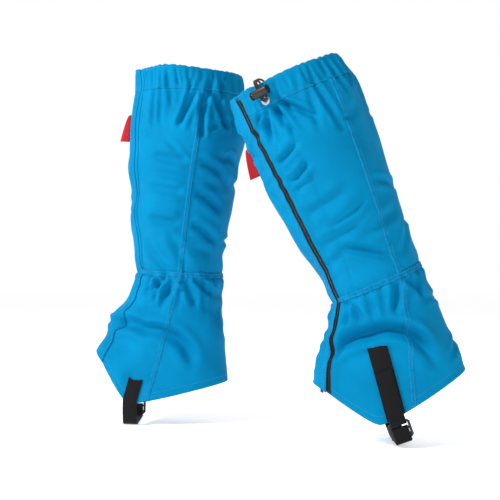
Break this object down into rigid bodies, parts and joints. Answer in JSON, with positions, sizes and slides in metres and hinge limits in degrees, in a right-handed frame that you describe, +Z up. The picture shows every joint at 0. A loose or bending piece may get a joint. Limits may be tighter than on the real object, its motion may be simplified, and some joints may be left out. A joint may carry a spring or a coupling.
{
  "type": "pair of hiking gaiters",
  "caption": "Front-opening hiking gaiters with a hook-and-loop storm flap, drawcord top, elastic ankle, flared boot skirt and buckled instep strap.",
  "frame": {"origin": "bottom centre of the pair's bounding box, under the boots' instep straps", "axes": "-X towards the toes, +Y towards the wearer's right, +Z up"},
  "size_m": [0.4902, 0.341, 0.5008],
  "materials": {
    "shell": "coated plain-weave nylon, satin",
    "webbing": "ribbed polypropylene webbing",
    "plastic": "moulded acetal, fine satin",
    "hook_and_loop": "hook-and-loop tape, dull",
    "cord": "braided polyester cord",
    "elastic": "woven elastic, ribbed",
    "metal": "satin nickel-plated steel",
    "label": "folded woven label, plain"
  },
  "bodies": {
    "left_gaiter": {"left_outer_calf_panel": "shell", "left_rear_calf_panel": "shell", "left_inner_calf_panel": "shell", "left_outer_skirt_panel": "shell", "left_rear_skirt_panel": "shell", "left_inner_skirt_panel": "shell", "left_top_hem_tunnel": "shell", "left_tunnel_drawcord": "cord", "left_cord_eyelet": "metal", "left_drawcord_loop": "cord", "left_ankle_band": "shell", "left_ankle_elastic": "elastic", "left_hook_tape": "hook_and_loop", "left_strap_reinforcement": "webbing", "left_buckle_webbing": "webbing", "left_ladder_lock": "plastic", "left_instep_strap": "webbing", "left_lace_hook_tab": "webbing", "left_lace_hook_rivet": "metal", "left_front_flap_lower": "shell", "left_loop_tape_lower": "hook_and_loop"},
    "left_flap_upper": {"left_front_flap_upper": "shell", "left_loop_tape_upper": "hook_and_loop"},
    "left_label": {"left_woven_label": "label"},
    "left_cord_lock": {"left_cord_lock_body": "plastic", "left_cord_lock_spring": "metal"},
    "left_lock_button": {"left_cord_lock_button": "plastic"},
    "left_hook": {"left_lace_hook": "metal"},
    "right_gaiter": {"right_outer_calf_panel": "shell", "right_rear_calf_panel": "shell", "right_inner_calf_panel": "shell", "right_outer_skirt_panel": "shell", "right_rear_skirt_panel": "shell", "right_inner_skirt_panel": "shell", "right_top_hem_tunnel": "shell", "right_tunnel_drawcord": "cord", "right_cord_eyelet": "metal", "right_drawcord_loop": "cord", "right_ankle_band": "shell", "right_ankle_elastic": "elastic", "right_hook_tape": "hook_and_loop", "right_strap_reinforcement": "webbing", "right_buckle_webbing": "webbing", "right_ladder_lock": "plastic", "right_instep_strap": "webbing", "right_lace_hook_tab": "webbing", "right_lace_hook_rivet": "metal", "right_front_flap_lower": "shell", "right_loop_tape_lower": "hook_and_loop"},
    "right_flap_upper": {"right_front_flap_upper": "shell", "right_loop_tape_upper": "hook_and_loop"},
    "right_label": {"right_woven_label": "label"},
    "right_cord_lock": {"right_cord_lock_body": "plastic", "right_cord_lock_spring": "metal"},
    "right_lock_button": {"right_cord_lock_button": "plastic"},
    "right_hook": {"right_lace_hook": "metal"}
  },
  "joints": [
    {"name": "left_flap_upper_open", "type": "hinge", "parent": "left_gaiter", "child": "left_flap_upper", "pos_m": [0.00988, -0.06535, 0.30073], "axis": [0.4455, -0.0238, -0.895], "range_deg": [0, 100]},
    {"name": "left_label_flex", "type": "hinge", "parent": "left_flap_upper", "child": "left_label", "pos_m": [-0.02194, -0.08972, 0.35402], "axis": [-0.3809, 0.0002, 0.9246], "range_deg": [-60, 60]},
    {"name": "left_cord_lock_slide", "type": "slide", "parent": "left_gaiter", "child": "left_cord_lock", "axis": [-0.388, 0.0548, 0.92], "range_m": [0, 0.005]},
    {"name": "left_lock_button_press", "type": "slide", "parent": "left_cord_lock", "child": "left_lock_button", "axis": [0.7862, -0.5012, 0.3614], "range_m": [0, 0.003], "stiffness_N_per_m": 300, "springref_m": -0.006, "deforming": ["left_cord_lock_spring"]},
    {"name": "left_lace_hook_pivot", "type": "hinge", "parent": "left_gaiter", "child": "left_hook", "pos_m": [0.06557, -0.08502, 0.077], "axis": [-0.907, 0.342, 0.2459], "range_deg": [-25, 25]},
    {"name": "right_flap_upper_open", "type": "hinge", "parent": "right_gaiter", "child": "right_flap_upper", "pos_m": [-0.19196, 0.06535, 0.35357], "axis": [0.0007, -0.0238, 0.9997], "range_deg": [0, 100]},
    {"name": "right_label_flex", "type": "hinge", "parent": "right_flap_upper", "child": "right_label", "pos_m": [-0.19666, 0.08972, 0.41547], "axis": [0.0717, -0.0002, 0.9974], "range_deg": [-60, 60]},
    {"name": "right_cord_lock_slide", "type": "slide", "parent": "right_gaiter", "child": "right_cord_lock", "axis": [0.0633, -0.0548, 0.9965], "range_m": [0, 0.005]},
    {"name": "right_lock_button_press", "type": "slide", "parent": "right_cord_lock", "child": "right_lock_button", "axis": [0.8649, 0.5012, -0.0274], "range_m": [0, 0.003], "stiffness_N_per_m": 300, "springref_m": -0.006, "deforming": ["right_cord_lock_spring"]},
    {"name": "right_lace_hook_pivot", "type": "hinge", "parent": "right_gaiter", "child": "right_hook", "pos_m": [-0.23247, 0.0851, 0.10022], "axis": [-0.8147, -0.3637, 0.4515], "range_deg": [-25, 25]},
    {"name": "gaiters_apart", "type": "slide", "parent": "left_gaiter", "child": "right_gaiter", "axis": [0, 1, 0], "range_m": [0, 0.3]}
  ]
}
